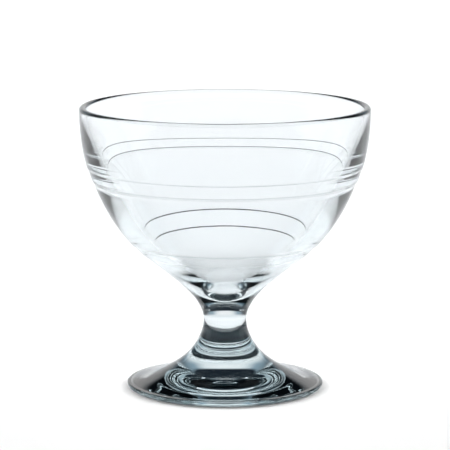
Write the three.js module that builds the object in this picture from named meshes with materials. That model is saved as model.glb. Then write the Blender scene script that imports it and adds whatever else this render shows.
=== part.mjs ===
// Footed dessert coupe in clear pressed glass, in millimetres, +Z up.
// The origin is the centre of the base, in the plane that the foot rests on.
//
// The coupe is three pieces of glass, joined hot, face to face:
//   foot  the spreading foot, with a flat resting ring and a shallow hollow under it
//   stem  the waisted stem
//   bowl  the solid neck, and above it the ringed bowl with its cavity
// Each piece is one closed outline turned round the z axis.

import * as THREE from 'three';
import { mergeVertices } from 'three/addons/utils/BufferGeometryUtils.js';

// Overall sizes
const HEIGHT = 102.3;
const RIM_DIAMETER = 104.5;
const FOOT_DIAMETER = 71;

// Stem: the waist, and the hot joints below and above it
const WAIST_DIAMETER = 15.4;
const WAIST_HEIGHT = 24.5;
const FOOT_JOINT_DROP = 11.5;
const NECK_JOINT_RISE = 4.5;

// Foot: the rounded edge, the flat ring that it rests on, and the hollow inside the ring
const EDGE_HEIGHT = 1.25;
const EDGE_ROUND_BELOW = 1.5;
const EDGE_ROUND_ABOVE = 2.3;
const EDGE_TOP_RISE = 0.75;
const REST_RING_WIDTH = 3.5;
const HOLLOW_DEPTH = 3;

// Bowl: the outside turns from neck to belly at the shoulder
const SHOULDER_DIAMETER = 54.4;
const SHOULDER_HEIGHT = 47;

// Bowl: two pairs of moulded rings, each a small step inwards on the way down
const RING_STEP = 0.35;
const RING_LEDGE = 0.2;
const UPPER_RING_DROP = 21.9;
const UPPER_RING_SPACING = 4.6;
const LOWER_RING_RISE = 5.65;
const LOWER_RING_SPACING = 4.1;

// Bowl: the glass round the cavity
const RIM_WALL = 2.6;
const SHOULDER_WALL = 8;
const CAVITY_SHOULDER_RISE = 3;
const FLOOR_THICKNESS = 5.6;
const DIP_DIAMETER = 17;
const DIP_DEPTH = 4.7;

// Leans of the curves, from the vertical
const FOOT_TOP_LEAN = THREE.MathUtils.degToRad(76.4);
const SHOULDER_LEAN = THREE.MathUtils.degToRad(51.3);
const CAVITY_SHOULDER_LEAN = THREE.MathUtils.degToRad(52.5);
const DIP_LEAN = THREE.MathUtils.degToRad(44.5);

// How far each end of a curve holds its direction, as a share of the chord between its ends
const ROUND_HOLD = 0.39;
const FOOT_TOP_HOLDS = [0.69, 0.11];
const NECK_HOLDS = [0.275, 0.33];
const BELLY_HOLDS = [0.18, 0.51];
const CAVITY_HOLDS = [0.3, 0.29];
const DIP_HOLDS = [0.31, 0.29];
const FLARE_HOLDS = [0.17, 0.5];

// Faceting
const SEGMENTS = 64;
const FOOT_TOP_STEPS = 14;
const NECK_STEPS = 12;
const BELLY_STEPS = 16;
const CAVITY_STEPS = 14;
const FLARE_STEPS = 7;
const DIP_STEPS = 6;
const HOLLOW_STEPS = 8;
const ROUND_STEPS = 3;
const RIM_STEPS = 6;
const HALVINGS = 40;

// Look of the glass in a plain viewer
const GLASS_COLOUR = 0xe6f0f0;
const GLASS_ROUGHNESS = 0.03;
const GLASS_OPACITY = 0.35;

// Directions in the outline's plane, as leans from the vertical
const UP = 0;
const OUTWARDS = Math.PI / 2;

const point = (radius, height) => new THREE.Vector2(radius, height);

// A point at a distance from another, in a direction that leans out from the vertical
function leaning(from, lean, distance) {
  return point(from.x + distance * Math.sin(lean), from.y + distance * Math.cos(lean));
}

// A smooth curve that leaves its start and reaches its end with the leans given
function sweep(start, startLean, end, endLean, [startHold, endHold]) {
  const chord = start.distanceTo(end);
  const leave = leaning(start, startLean, startHold * chord);
  const arrive = leaning(end, endLean, -endHold * chord);
  return new THREE.CubicBezierCurve(start, leave, arrive, end);
}

// The radius of a rising curve at a height, by halving
function radiusAt(curve, height) {
  let low = 0;
  let high = 1;
  for (let turn = 0; turn < HALVINGS; turn += 1) {
    const middle = (low + high) / 2;
    if (curve.getPoint(middle).y < height) {
      low = middle;
    } else {
      high = middle;
    }
  }
  return curve.getPoint(low).x;
}

// Heights above the table
const footJointHeight = WAIST_HEIGHT - FOOT_JOINT_DROP;
const neckJointHeight = WAIST_HEIGHT + NECK_JOINT_RISE;
const upperRingHeight = HEIGHT - UPPER_RING_DROP;
const lowerRingHeight = SHOULDER_HEIGHT + LOWER_RING_RISE;
const ringHeights = [
  lowerRingHeight - LOWER_RING_SPACING,
  lowerRingHeight,
  upperRingHeight - UPPER_RING_SPACING,
  upperRingHeight,
];

// The outside, from the foot's edge to the rim. The belly curve has no rings, so it starts
// further out than the shoulder by all their steps.
const ringsInset = RING_STEP * ringHeights.length;
const edgePoint = point(FOOT_DIAMETER / 2, EDGE_HEIGHT);
const edgeTopPoint = point(edgePoint.x - EDGE_ROUND_ABOVE, EDGE_HEIGHT + EDGE_TOP_RISE);
const waistPoint = point(WAIST_DIAMETER / 2, WAIST_HEIGHT);
const shoulderPoint = point(SHOULDER_DIAMETER / 2, SHOULDER_HEIGHT);
const rimPoint = point(RIM_DIAMETER / 2, HEIGHT - RIM_WALL / 2);
const footTop = sweep(edgeTopPoint, -FOOT_TOP_LEAN, waistPoint, UP, FOOT_TOP_HOLDS);
const neck = sweep(waistPoint, UP, shoulderPoint, SHOULDER_LEAN, NECK_HOLDS);
const belly = sweep(
  point(shoulderPoint.x + ringsInset, SHOULDER_HEIGHT),
  SHOULDER_LEAN,
  rimPoint,
  UP,
  BELLY_HOLDS,
);

// How far the rings above a height have drawn the outside in
function insetAt(height) {
  return RING_STEP * ringHeights.filter((ring) => ring > height).length;
}

function outsideRadius(height) {
  if (height < WAIST_HEIGHT) {
    return radiusAt(footTop, height);
  }
  if (height < SHOULDER_HEIGHT) {
    return radiusAt(neck, height) + ringsInset - insetAt(height);
  }
  return radiusAt(belly, height) - insetAt(height);
}

// The outside between two heights, as outline points that climb from one to the other
function outside(bottom, top) {
  const sampled = [
    ...footTop.getPoints(FOOT_TOP_STEPS),
    ...neck.getPoints(NECK_STEPS),
    ...belly.getPoints(BELLY_STEPS),
  ].map((sample) => sample.y);
  const ledges = ringHeights.flatMap((ring) => [ring - RING_LEDGE / 2, ring + RING_LEDGE / 2]);
  const stops = [bottom, top, ...ledges];
  const clear = sampled.filter((height) => stops.every((stop) => Math.abs(height - stop) > RING_LEDGE));
  return [...clear, ...stops]
    .filter((height) => height >= bottom && height <= top)
    .sort((a, b) => a - b)
    .map((height) => point(outsideRadius(height), height));
}

// A rounded corner whose ends are level and upright
function round(start, startLean, end, endLean) {
  return sweep(start, startLean, end, endLean, [ROUND_HOLD, ROUND_HOLD]).getPoints(ROUND_STEPS);
}

// The foot's underside and edge, from the axis outwards and up to the spreading top
function footBase() {
  const restOuter = point(edgePoint.x - EDGE_ROUND_BELOW, 0);
  const hollowRadius = restOuter.x - REST_RING_WIDTH;
  const hollow = [];
  for (let step = 0; step <= HOLLOW_STEPS; step += 1) {
    const share = step / HOLLOW_STEPS;
    hollow.push(point(hollowRadius * share, HOLLOW_DEPTH * (1 - share * share)));
  }
  return [
    ...hollow,
    ...round(restOuter, OUTWARDS, edgePoint, UP),
    ...round(edgePoint, UP, edgeTopPoint, -FOOT_TOP_LEAN).slice(1),
  ];
}

// The rounded rim, from the outside over the top to the cavity
function rim() {
  const bead = RIM_WALL / 2;
  const middle = point(rimPoint.x - bead, rimPoint.y);
  const corners = [];
  for (let step = 1; step < RIM_STEPS; step += 1) {
    const lean = OUTWARDS - (Math.PI * step) / RIM_STEPS;
    corners.push(leaning(middle, lean, bead));
  }
  return corners;
}

// The cavity, from the rim down to its floor on the axis. It ends in a small dip, where the stem
// drew the floor down, and flares from the edge of the dip to the shoulder.
function cavity() {
  const mouth = point(rimPoint.x - RIM_WALL, rimPoint.y);
  const turnHeight = SHOULDER_HEIGHT + CAVITY_SHOULDER_RISE;
  const turn = point(outsideRadius(turnHeight) - SHOULDER_WALL, turnHeight);
  const floor = point(0, neckJointHeight + FLOOR_THICKNESS);
  const dipEdge = point(DIP_DIAMETER / 2, floor.y + DIP_DEPTH);
  const side = sweep(turn, CAVITY_SHOULDER_LEAN, mouth, UP, CAVITY_HOLDS);
  const flare = sweep(dipEdge, DIP_LEAN, turn, CAVITY_SHOULDER_LEAN, FLARE_HOLDS);
  const dip = sweep(floor, OUTWARDS, dipEdge, DIP_LEAN, DIP_HOLDS);
  return [
    ...side.getPoints(CAVITY_STEPS).reverse(),
    ...flare.getPoints(FLARE_STEPS).reverse().slice(1),
    ...dip.getPoints(DIP_STEPS).reverse().slice(1),
  ];
}

// Turns an outline of radii and heights round the z axis, with its seam and its poles merged
function turned(name, outline) {
  const geometry = new THREE.LatheGeometry(outline, SEGMENTS);
  geometry.rotateX(OUTWARDS);
  geometry.deleteAttribute('normal');
  geometry.deleteAttribute('uv');
  const merged = mergeVertices(geometry);
  merged.computeVertexNormals();
  const material = new THREE.MeshStandardMaterial({
    name: 'clear_glass',
    color: GLASS_COLOUR,
    roughness: GLASS_ROUGHNESS,
    metalness: 0,
    transparent: true,
    opacity: GLASS_OPACITY,
  });
  const mesh = new THREE.Mesh(merged, material);
  mesh.name = name;
  return mesh;
}

const foot = turned('foot', [
  ...footBase(),
  ...outside(edgeTopPoint.y, footJointHeight).slice(1),
  point(0, footJointHeight),
]);

const stem = turned('stem', [
  point(0, footJointHeight),
  ...outside(footJointHeight, neckJointHeight),
  point(0, neckJointHeight),
]);

const bowl = turned('bowl', [
  point(0, neckJointHeight),
  ...outside(neckJointHeight, rimPoint.y),
  ...rim(),
  ...cavity(),
]);

const coupe = new THREE.Group();
coupe.name = 'dessert_coupe';
coupe.add(foot, stem, bowl);

export default coupe;
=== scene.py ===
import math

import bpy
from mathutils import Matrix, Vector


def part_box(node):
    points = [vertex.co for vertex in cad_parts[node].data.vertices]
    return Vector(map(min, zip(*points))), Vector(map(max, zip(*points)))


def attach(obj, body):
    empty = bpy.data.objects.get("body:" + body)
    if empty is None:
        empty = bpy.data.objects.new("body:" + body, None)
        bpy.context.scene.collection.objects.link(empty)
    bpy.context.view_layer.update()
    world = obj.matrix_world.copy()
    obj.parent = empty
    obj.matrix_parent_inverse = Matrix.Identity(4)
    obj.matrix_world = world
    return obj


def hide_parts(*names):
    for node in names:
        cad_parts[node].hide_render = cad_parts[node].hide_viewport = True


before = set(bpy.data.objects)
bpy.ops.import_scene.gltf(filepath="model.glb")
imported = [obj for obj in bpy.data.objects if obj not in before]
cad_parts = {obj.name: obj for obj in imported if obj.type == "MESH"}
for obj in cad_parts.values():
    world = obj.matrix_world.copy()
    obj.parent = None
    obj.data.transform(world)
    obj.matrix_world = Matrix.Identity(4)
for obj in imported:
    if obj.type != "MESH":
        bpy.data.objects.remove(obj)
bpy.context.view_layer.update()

# %% [markdown]
# A footed dessert coupe in clear pressed glass: a deep bowl with four moulded ring lines, a short
# waisted stem and a spreading round foot. Glass shows almost nothing of its own. What the eye reads
# is the room bent through it, so the outline has to be right and the light has to be planned.
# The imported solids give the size. The visual glass is made again here, finer and in one piece.

# %% [markdown]
# The camera comes first, because the picture was taken with a long lens from a little above the rim.
# Its distance, height and tilt were found from the flattening of the two ellipses, rim and foot:
# a near camera flattens them by different amounts, and a far one by the same.

# %% Camera
CAMERA_DISTANCE = 0.92993
CAMERA_HEIGHT = 0.216947
CAMERA_TILT_DOWN = 0.1683
FOCAL_LENGTH_IN_PIXELS = 2615.5
PICTURE_WIDTH_IN_PIXELS = 450
SENSOR_WIDTH = 36.0
NEAREST_SEEN = 0.01
FURTHEST_SEEN = 20.0

bpy.ops.object.camera_add(
    location=(0, -CAMERA_DISTANCE, CAMERA_HEIGHT),
    rotation=(math.pi / 2 - CAMERA_TILT_DOWN, 0, 0),
)
camera = bpy.context.object
camera.name = "camera"
camera.data.sensor_width = SENSOR_WIDTH
camera.data.lens = FOCAL_LENGTH_IN_PIXELS * SENSOR_WIDTH / PICTURE_WIDTH_IN_PIXELS
camera.data.clip_start = NEAREST_SEEN
camera.data.clip_end = FURTHEST_SEEN
bpy.context.scene.camera = camera
print("lens", round(camera.data.lens, 1), "mm at", CAMERA_DISTANCE, "m")

# %% [markdown]
# A coupe is a body of revolution, so one half outline tells everything. It is kept as a chain of
# Bezier curves, each with two ends and two handles, because that is how a designer draws a glass:
# a handle says which way the glass runs where it leaves a point. Radii and heights are in millimetres.
# A hold is the length of a handle, as a share of the straight line between the curve's two ends.

# %% Outline helpers
MM = 0.001
HALVINGS = 40


def point(radius, height):
    """A place on the half outline, in millimetres."""
    return Vector((radius, height))


def leaning(start, lean, distance):
    """The point at a distance from start, in a direction that leans out from the vertical."""
    return start + distance * Vector((math.sin(lean), math.cos(lean)))


def sweep(start, start_lean, end, end_lean, holds):
    """One smooth curve that leaves start and reaches end with the leans given."""
    chord = (end - start).length
    leave = leaning(start, start_lean, holds[0] * chord)
    arrive = leaning(end, end_lean, -holds[1] * chord)
    return [start, leave, arrive, end]


def straight(start, end):
    """A straight line in the form of a curve, with its handles on the line."""
    return [start, start.lerp(end, 1 / 3), start.lerp(end, 2 / 3), end]


def cut(curve, share):
    """Cuts a curve in two at a share of its parameter, without changing its shape."""
    a, b, c, d = curve
    ab, bc, cd = a.lerp(b, share), b.lerp(c, share), c.lerp(d, share)
    abc, bcd = ab.lerp(bc, share), bc.lerp(cd, share)
    middle = abc.lerp(bcd, share)
    return [a, ab, abc, middle], [middle, bcd, cd, d]


def share_at(curve, height):
    """The parameter at which a rising curve passes a height, by halving."""
    low, high = 0.0, 1.0
    for _ in range(HALVINGS):
        middle = (low + high) / 2
        if cut(curve, middle)[0][-1].y < height:
            low = middle
        else:
            high = middle
    return low


def shifted(curve, distance):
    """The same curve, further out by a distance."""
    return [p + Vector((distance, 0)) for p in curve]


print("outline helpers ready, for sizes of", MM, "m")

# %% [markdown]
# The foot stands on a flat ring just inside its edge. Inside the ring the underside is hollowed by
# three millimetres, so that the glass stands steady, and a hollow is what throws the nested arcs
# that show through the foot. The edge is round, as fire-polishing leaves it. The hollow is a
# parabola, which a Bezier curve makes exactly when its handles lie a third of the way along.

# %% Foot
UPRIGHT = 0.0
LEVEL = math.pi / 2
ROUND_HOLDS = (0.39, 0.39)
FOOT_TOP_HOLDS = (0.69, 0.11)
FOOT_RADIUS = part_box("foot")[1].x / MM
EDGE_HEIGHT = 1.25
EDGE_ROUND_BELOW = 1.5
EDGE_ROUND_ABOVE = 2.3
EDGE_TOP_RISE = 0.75
REST_RING_WIDTH = 3.5
HOLLOW_DEPTH = 3.0
FOOT_TOP_LEAN = math.radians(76.4)
WAIST_RADIUS = 7.7
WAIST_HEIGHT = 24.5

edge = point(FOOT_RADIUS, EDGE_HEIGHT)
edge_top = point(FOOT_RADIUS - EDGE_ROUND_ABOVE, EDGE_HEIGHT + EDGE_TOP_RISE)
rest_outer = point(FOOT_RADIUS - EDGE_ROUND_BELOW, 0)
rest_inner = point(rest_outer.x - REST_RING_WIDTH, 0)
hollow_top = point(0, HOLLOW_DEPTH)
waist = point(WAIST_RADIUS, WAIST_HEIGHT)

hollow_reach = rest_inner.x / 3
hollow = [
    hollow_top,
    point(hollow_reach, HOLLOW_DEPTH),
    point(2 * hollow_reach, 2 * HOLLOW_DEPTH / 3),
    rest_inner,
]
foot_outline = [
    hollow,
    straight(rest_inner, rest_outer),
    sweep(rest_outer, LEVEL, edge, UPRIGHT, ROUND_HOLDS),
    sweep(edge, UPRIGHT, edge_top, -FOOT_TOP_LEAN, ROUND_HOLDS),
    *cut(sweep(edge_top, -FOOT_TOP_LEAN, waist, UPRIGHT, FOOT_TOP_HOLDS), 0.5),
]
print("foot", 2 * round(FOOT_RADIUS, 2), "mm across, hollow", HOLLOW_DEPTH, "mm")

# %% [markdown]
# Above the waist the neck opens into the bowl. The bowl carries two pairs of rings. Each ring is a
# step of a third of a millimetre, cut into the mould, so the glass draws in a little below it. The
# ledge is nearly level, and that is why so fine a step shows: it throws light far up or down, out of
# the bright wall behind, and so it reads as a thin dark line.

# %% Neck, belly and rings
bowl_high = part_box("bowl")[1]
HEIGHT = bowl_high.z / MM
RIM_RADIUS = bowl_high.x / MM
SHOULDER_RADIUS = 27.2
SHOULDER_HEIGHT = 47.0
SHOULDER_LEAN = math.radians(51.3)
NECK_HOLDS = (0.275, 0.33)
BELLY_HOLDS = (0.18, 0.51)
RIM_WALL = 2.6
RING_STEP = 0.35
RING_RISE = 0.16
RING_HEIGHTS = (48.55, 52.65, 75.8, 80.4)

shoulder = point(SHOULDER_RADIUS, SHOULDER_HEIGHT)
rim_outer = point(RIM_RADIUS, HEIGHT - RIM_WALL / 2)
rings_inset = RING_STEP * len(RING_HEIGHTS)
neck = sweep(waist, UPRIGHT, shoulder, SHOULDER_LEAN, NECK_HOLDS)
belly_start = shoulder + Vector((rings_inset, 0))
belly = sweep(belly_start, SHOULDER_LEAN, rim_outer, UPRIGHT, BELLY_HOLDS)

wall_outline = list(cut(neck, 0.5))
rest = shifted(belly, -rings_inset)
for ring_height in RING_HEIGHTS:
    below, rest = cut(rest, share_at(rest, ring_height - RING_RISE / 2))
    rest = shifted(rest, RING_STEP)
    _, rest = cut(rest, share_at(rest, ring_height + RING_RISE / 2))
    wall_outline += [below, straight(below[3], rest[0])]
wall_outline += cut(rest, 0.5)
print("rings at", RING_HEIGHTS, "mm, each a step of", RING_STEP, "mm")

# %% [markdown]
# The cavity is not a copy of the outside. The wall is under three millimetres at the rim and grows to
# eight at the shoulder, and that growing wall is a lens, which draws the rings at the back into arcs.
# At its floor the cavity ends in a small dip, where the stem drew the soft glass down.

# %% Rim and cavity
SHOULDER_WALL = 8.0
CAVITY_SHOULDER_RISE = 3.0
CAVITY_SHOULDER_LEAN = math.radians(52.5)
FLOOR_HEIGHT = 34.6
DIP_RADIUS = 8.5
DIP_DEPTH = 4.7
DIP_LEAN = math.radians(44.5)
SIDE_HOLDS = (0.3, 0.29)
FLARE_HOLDS = (0.17, 0.5)
DIP_HOLDS = (0.31, 0.29)
DOWN = math.pi

rim_top = point(RIM_RADIUS - RIM_WALL / 2, HEIGHT)
mouth = point(RIM_RADIUS - RIM_WALL, rim_outer.y)
turn_height = SHOULDER_HEIGHT + CAVITY_SHOULDER_RISE
turn_outside = cut(belly, share_at(belly, turn_height))[0][-1].x
rings_above_turn = sum(height > turn_height for height in RING_HEIGHTS)
turn_outside -= RING_STEP * rings_above_turn
turn = point(turn_outside - SHOULDER_WALL, turn_height)
floor = point(0, FLOOR_HEIGHT)
dip_edge = point(DIP_RADIUS, FLOOR_HEIGHT + DIP_DEPTH)

side = sweep(turn, CAVITY_SHOULDER_LEAN, mouth, UPRIGHT, SIDE_HOLDS)
flare = sweep(dip_edge, DIP_LEAN, turn, CAVITY_SHOULDER_LEAN, FLARE_HOLDS)
dip = sweep(floor, LEVEL, dip_edge, DIP_LEAN, DIP_HOLDS)


def turned_round(curves):
    """The same curves, walked from their far end."""
    return [curve[::-1] for curve in curves[::-1]]


cavity_outline = [
    sweep(rim_outer, UPRIGHT, rim_top, -LEVEL, ROUND_HOLDS),
    sweep(rim_top, -LEVEL, mouth, DOWN, ROUND_HOLDS),
]
lower_side, upper_side = cut(side, 0.5)
cavity_outline += turned_round([*cut(lower_side, 0.5), *cut(upper_side, 0.5)])
cavity_outline += turned_round([dip, *cut(flare, 0.5)])
outline = foot_outline + wall_outline + cavity_outline
print(len(outline), "curves in the outline; wall at the shoulder", SHOULDER_WALL, "mm")

# %% [markdown]
# To turn the outline, it is drawn as one Bezier curve in the X-Z plane, made a mesh, and spun a full
# turn round Z in edit mode. The spin leaves a doubled seam and a bunch of points on the axis at each
# end, so the doubles are merged, and the normals are made to face out again.

# %% Draw and spin the glass
CURVE_STEPS = 12
TURN_STEPS = 240
MERGE_DISTANCE = 1e-6


def in_space(p):
    """A place on the half outline as a place in the X-Z plane, in metres."""
    return (p.x * MM, 0.0, p.y * MM)


bpy.ops.object.select_all(action="DESELECT")
bpy.ops.curve.primitive_bezier_curve_add(location=(0, 0, 0))
coupe = bpy.context.object
coupe.name = "coupe_glass"
coupe.data.dimensions = "3D"
spline = coupe.data.splines[0]
spline.bezier_points.add(len(outline) + 1 - len(spline.bezier_points))
spline.resolution_u = CURVE_STEPS
for number, knot in enumerate(spline.bezier_points):
    before = outline[max(number - 1, 0)]
    after = outline[min(number, len(outline) - 1)]
    knot.handle_left_type = knot.handle_right_type = "FREE"
    knot.co = in_space(after[0] if number < len(outline) else before[3])
    knot.handle_left = in_space(before[2] if number else before[0])
    knot.handle_right = in_space(after[1] if number < len(outline) else before[3])
bpy.ops.object.convert(target="MESH")
bpy.ops.object.mode_set(mode="EDIT")
bpy.ops.mesh.select_all(action="SELECT")
bpy.ops.mesh.spin(steps=TURN_STEPS, angle=2 * math.pi, center=(0, 0, 0), axis=(0, 0, 1))
bpy.ops.mesh.select_all(action="SELECT")
bpy.ops.mesh.remove_doubles(threshold=MERGE_DISTANCE)
bpy.ops.mesh.normals_make_consistent(inside=False)
bpy.ops.object.mode_set(mode="OBJECT")
bpy.ops.object.shade_smooth()
coupe.data.name = coupe.name
print("glass:", len(coupe.data.polygons), "faces,", len(coupe.data.vertices), "points")

# %% [markdown]
# Clear glass is a Principled shader with full transmission, an index of refraction for soda-lime
# glass, and a volume that takes a little red out of a long way through it. A wall looks clear and the
# thick stem looks faintly blue-green, as it does in the hand. The skin isn't perfect: pressed glass
# is very slightly wavy, and a noise that drives a tiny bump bends what is seen through it. A finer
# noise leaves sparse specks that are a trace less glossy, as handling does.

# %% Clear glass
GLASS_INDEX = 1.52
CLEAR = (1.0, 1.0, 1.0, 1.0)
TINT = (0.55, 0.8, 0.85, 1.0)
TINT_DENSITY = 13.0
WAVE_SCALE = 90.0
WAVE_DETAIL = 1.0
WAVE_STRENGTH = 0.03
WAVE_DEPTH = 0.0002
SPECK_SCALE = 900.0
SPECK_START = 0.55
SPECK_FULL = 0.8
ROUGH_LOW = 0.0
ROUGH_HIGH = 0.012

clear_glass = bpy.data.materials.new("clear_glass")
clear_glass.use_nodes = True
tree = clear_glass.node_tree
shader = tree.nodes["Principled BSDF"]
shader.inputs["Base Color"].default_value = CLEAR
shader.inputs["IOR"].default_value = GLASS_INDEX
shader.inputs["Transmission Weight"].default_value = 1.0

absorb = tree.nodes.new("ShaderNodeVolumeAbsorption")
absorb.inputs["Color"].default_value = TINT
absorb.inputs["Density"].default_value = TINT_DENSITY
tree.links.new(absorb.outputs["Volume"], tree.nodes["Material Output"].inputs["Volume"])

place = tree.nodes.new("ShaderNodeTexCoord")
waves = tree.nodes.new("ShaderNodeTexNoise")
waves.inputs["Scale"].default_value = WAVE_SCALE
waves.inputs["Detail"].default_value = WAVE_DETAIL
tree.links.new(place.outputs["Object"], waves.inputs["Vector"])
bump = tree.nodes.new("ShaderNodeBump")
bump.inputs["Strength"].default_value = WAVE_STRENGTH
bump.inputs["Distance"].default_value = WAVE_DEPTH
tree.links.new(waves.outputs["Fac"], bump.inputs["Height"])
tree.links.new(bump.outputs["Normal"], shader.inputs["Normal"])

specks = tree.nodes.new("ShaderNodeTexNoise")
specks.inputs["Scale"].default_value = SPECK_SCALE
tree.links.new(place.outputs["Object"], specks.inputs["Vector"])
sheen = tree.nodes.new("ShaderNodeMapRange")
sheen.inputs["From Min"].default_value = SPECK_START
sheen.inputs["From Max"].default_value = SPECK_FULL
sheen.inputs["To Min"].default_value = ROUGH_LOW
sheen.inputs["To Max"].default_value = ROUGH_HIGH
tree.links.new(specks.outputs["Fac"], sheen.inputs["Value"])
tree.links.new(sheen.outputs["Result"], shader.inputs["Roughness"])

coupe.data.materials.clear()
coupe.data.materials.append(clear_glass)
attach(coupe, "root")
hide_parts("foot", "stem", "bowl")
print("glass of index", GLASS_INDEX, "on", coupe.name)

# %% [markdown]
# Three small helpers for the floor's nodes and the light's: one does a sum of plain arithmetic, one
# makes a smooth step between two values, and one mixes two colours. A Mix node holds sockets for
# numbers, vectors and colours under the same names, so its colour sockets are picked by their place.

# %% Node helpers
FIRST_COLOUR_INPUT = 6
SECOND_COLOUR_INPUT = 7
COLOUR_OUTPUT = 2


def calculate(nodes, links, operation, *values):
    """A Math node on sockets or plain numbers."""
    node = nodes.new("ShaderNodeMath")
    node.operation = operation
    for slot, value in zip(node.inputs, values):
        if isinstance(value, (int, float)):
            slot.default_value = value
        else:
            links.new(value, slot)
    return node.outputs[0]


def smooth_step(nodes, links, value, start, end, first=0.0, last=1.0):
    """Goes smoothly from first to last while value goes from start to end."""
    node = nodes.new("ShaderNodeMapRange")
    node.interpolation_type = "SMOOTHSTEP"
    for name, number in (("From Min", start), ("From Max", end), ("To Min", first), ("To Max", last)):
        node.inputs[name].default_value = number
    links.new(value, node.inputs["Value"])
    return node.outputs[0]


def blended(nodes, links, share, first, last):
    """A colour between two, each a socket or a plain colour."""
    node = nodes.new("ShaderNodeMix")
    node.data_type = "RGBA"
    links.new(share, node.inputs["Factor"])
    for number, value in ((FIRST_COLOUR_INPUT, first), (SECOND_COLOUR_INPUT, last)):
        if isinstance(value, tuple):
            node.inputs[number].default_value = value
        else:
            links.new(value, node.inputs[number])
    return node.outputs[COLOUR_OUTPUT]


print("node helpers ready")

# %% [markdown]
# The floor is a plain pale sheet. It lies a tenth of a millimetre under the foot: a real glass
# touches a table at a few points only, and the hair of air under the ring is what makes the edge of
# the foot dark, because it turns light back into the glass. The sheet is all but matt, with a very
# faint mirror image of the foot. Seen through the glass it is a little greyer than seen straight:
# that greyer copy of the sheet's colour is painted shade.

# %% Floor
FLOOR_RADIUS = 2.0
FLOOR_SIDES = 128
AIR_UNDER_FOOT = 0.0001
FLOOR_COLOUR = (0.97, 0.97, 0.97, 1.0)
# painted shade: a darker copy of the sheet's colour, shown only where the sheet is seen through the
# glass
FLOOR_SHADED_IN_GLASS = (0.83, 0.85, 0.87, 1.0)
FLOOR_ROUGHNESS = 0.15
FLOOR_MIRROR = 0.05

bpy.ops.object.select_all(action="DESELECT")
bpy.ops.mesh.primitive_circle_add(
    vertices=FLOOR_SIDES, radius=FLOOR_RADIUS, fill_type="NGON", location=(0, 0, -AIR_UNDER_FOOT)
)
ground = bpy.context.object
ground.name = "floor_sheet"
pale = bpy.data.materials.new("pale_sheet")
pale.use_nodes = True
nodes, links = pale.node_tree.nodes, pale.node_tree.links
looked_at = nodes.new("ShaderNodeLightPath").outputs["Is Camera Ray"]
matt = nodes.new("ShaderNodeBsdfDiffuse")
# camera rays get the sheet's own colour, and all other rays get its painted-shade copy
links.new(blended(nodes, links, looked_at, FLOOR_SHADED_IN_GLASS, FLOOR_COLOUR), matt.inputs["Color"])
mirror = nodes.new("ShaderNodeBsdfGlossy")
mirror.inputs["Roughness"].default_value = FLOOR_ROUGHNESS
both = nodes.new("ShaderNodeMixShader")
both.inputs[0].default_value = FLOOR_MIRROR
links.new(matt.outputs[0], both.inputs[1])
links.new(mirror.outputs[0], both.inputs[2])
links.new(both.outputs[0], nodes["Material Output"].inputs["Surface"])
ground.data.materials.append(pale)
print("floor", 2 * FLOOR_RADIUS, "m across,", AIR_UNDER_FOOT, "m under the foot")

# %% [markdown]
# Glass is lit by what stands behind it. This is bright-field light: a bright strip straight behind
# the glass, on a dimmer slate wall, and a dark room above and to the sides. The wall ends about
# twenty-five degrees up. The dark room is bent into the edges, the neck and the foot, and so it draws
# them. A narrow card at either side keeps the glass alive when it is looked at from there. Low down
# the wall is as pale as the floor, as a sheet that curves up is, so no horizon cuts through the waist.
# The floor gets its light low and mostly from behind, for a short soft shadow in front.

# %% Light
DARK_ROOM = (0.012, 0.018, 0.025, 1.0)
SLATE_WALL = (0.30, 0.40, 0.47, 1.0)
SIDE_CARD = (0.50, 0.55, 0.58, 1.0)
COVE = (0.88, 0.91, 0.93, 1.0)
WHITE = (1.0, 1.0, 1.0, 1.0)
WALL_TOP = (0.34, 0.44)
WALL_SIDE = (0.66, 0.92)
STRIP_SIDE = (0.90, 0.998)
CARD_SIDE = (0.955, 0.98)
COVE_TOP = (0.05, 0.25)
COVE_SIDE = (-0.4, 0.4)
LOW_LIGHT_TOP = (0.52, 0.66)
LOW_LIGHT_SIDE = (-0.3, 0.7)
LOW_LIGHT_FRONT = 0.12
LOW_LIGHT_LEVEL = 9.0

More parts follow.
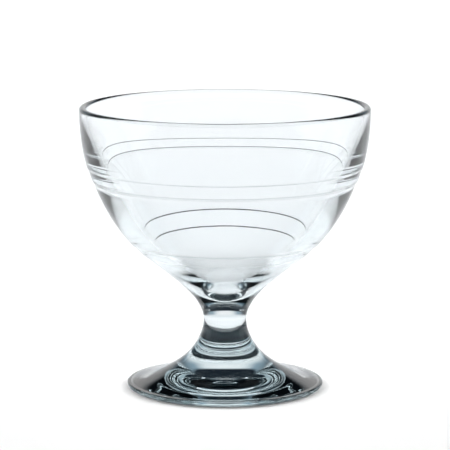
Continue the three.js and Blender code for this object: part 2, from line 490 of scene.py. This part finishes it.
world = bpy.data.worlds.new("studio")
bpy.context.scene.world = world
world.use_nodes = True
nodes, links = world.node_tree.nodes, world.node_tree.links
direction = nodes.new("ShaderNodeTexCoord")
split = nodes.new("ShaderNodeSeparateXYZ")
links.new(direction.outputs["Generated"], split.inputs[0])
east, north, up = split.outputs
squares = [calculate(nodes, links, "MULTIPLY", axis, axis) for axis in (east, north)]
level_length = calculate(nodes, links, "SQRT", calculate(nodes, links, "ADD", *squares))
ahead = calculate(nodes, links, "DIVIDE", north, level_length)
aside = calculate(nodes, links, "ABSOLUTE", calculate(nodes, links, "DIVIDE", east, level_length))
under_top = smooth_step(nodes, links, up, *WALL_TOP, 1.0, 0.0)

room = DARK_ROOM
for where, reach, colour in (
    (ahead, WALL_SIDE, SLATE_WALL),
    (ahead, STRIP_SIDE, WHITE),
    (aside, CARD_SIDE, SIDE_CARD),
):
    across = smooth_step(nodes, links, where, *reach)
    lit = calculate(nodes, links, "MULTIPLY", across, under_top)
    room = blended(nodes, links, lit, room, colour)
low_down = smooth_step(nodes, links, up, *COVE_TOP, 1.0, 0.0)
round_back = smooth_step(nodes, links, ahead, *COVE_SIDE)
cove = calculate(nodes, links, "MULTIPLY", low_down, round_back)
room = blended(nodes, links, cove, room, COVE)

low_band = smooth_step(nodes, links, up, *LOW_LIGHT_TOP, LOW_LIGHT_LEVEL, 0.0)
from_behind = smooth_step(nodes, links, ahead, *LOW_LIGHT_SIDE, LOW_LIGHT_FRONT, 1.0)
low_light = calculate(nodes, links, "MULTIPLY", low_band, from_behind)
ray = nodes.new("ShaderNodeLightPath")
for_floor = blended(nodes, links, ray.outputs["Is Diffuse Ray"], room, low_light)
seen = blended(nodes, links, ray.outputs["Is Camera Ray"], for_floor, WHITE)
links.new(seen, nodes["Background"].inputs["Color"])
print("the wall ends", round(math.degrees(math.asin(sum(WALL_TOP) / 2))), "degrees up")

# %% [markdown]
# Light in a thick foot is turned back inside it again and again. On a real foot each turn loses a
# little to fine scratches and dust on the underside, and after a few turns nothing is left, which
# makes the dark middle of the foot. A perfect skin would lose nothing, so the turns are held to five
# instead. Colours are shown as they are written, with the plain view.

# %% Settings
INNER_TURNS = 5
BENDS = 10

scene = bpy.context.scene
scene.view_settings.view_transform = "Standard"
scene.cycles.max_bounces = BENDS
scene.cycles.transmission_bounces = BENDS
scene.cycles.glossy_bounces = INNER_TURNS
print("a ray bends", BENDS, "times at most, and turns back", INNER_TURNS, "times")
